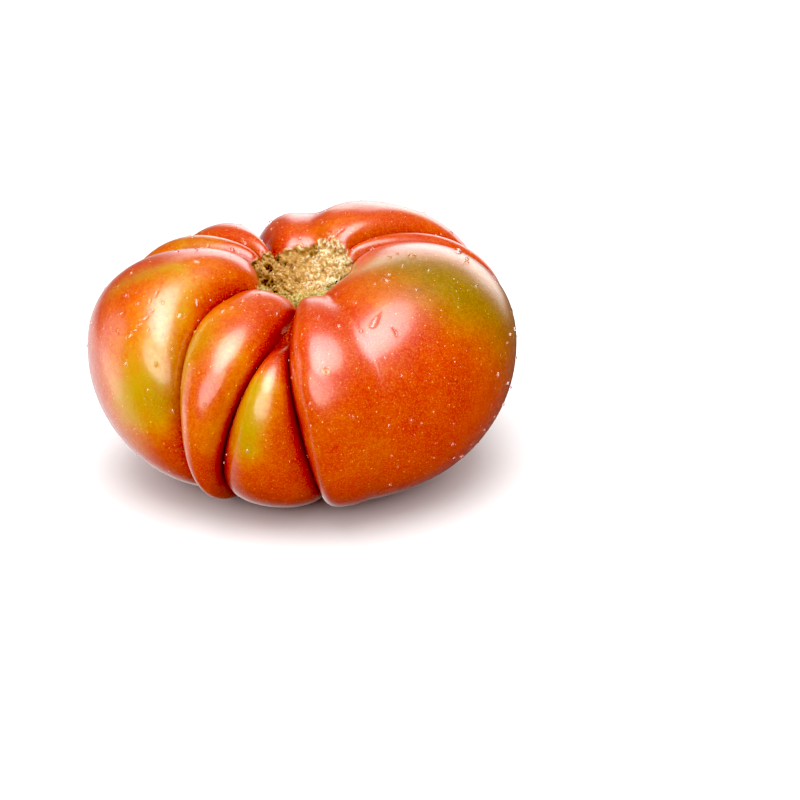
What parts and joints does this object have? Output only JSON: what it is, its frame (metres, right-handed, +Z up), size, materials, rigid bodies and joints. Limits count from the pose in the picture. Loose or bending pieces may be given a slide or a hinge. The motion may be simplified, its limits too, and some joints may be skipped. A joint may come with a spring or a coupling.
{
  "type": "ribbed tomato",
  "caption": "Whole ripe ribbed tomato, broad and flattened, with deep creases between uneven lobes that meet in a corky stem basin. It stands on its blossom end.",
  "frame": {"origin": "on the ground under the middle of the fruit, at the bottom centre of its bounding box", "axes": "+Z up along the fruit's own axis, from the blossom end to the stem scar. -Y is the side that the picture shows, and +X is to the right in it"},
  "size_m": [0.1212, 0.1198, 0.067],
  "materials": {
    "skin": "thin waxy glossy tomato skin, red to orange with olive-green shoulders and fine golden specks, and a rough tan corky scar in the stem basin"
  },
  "bodies": {
    "root": {"tomato": "skin"}
  },
  "joints": []
}
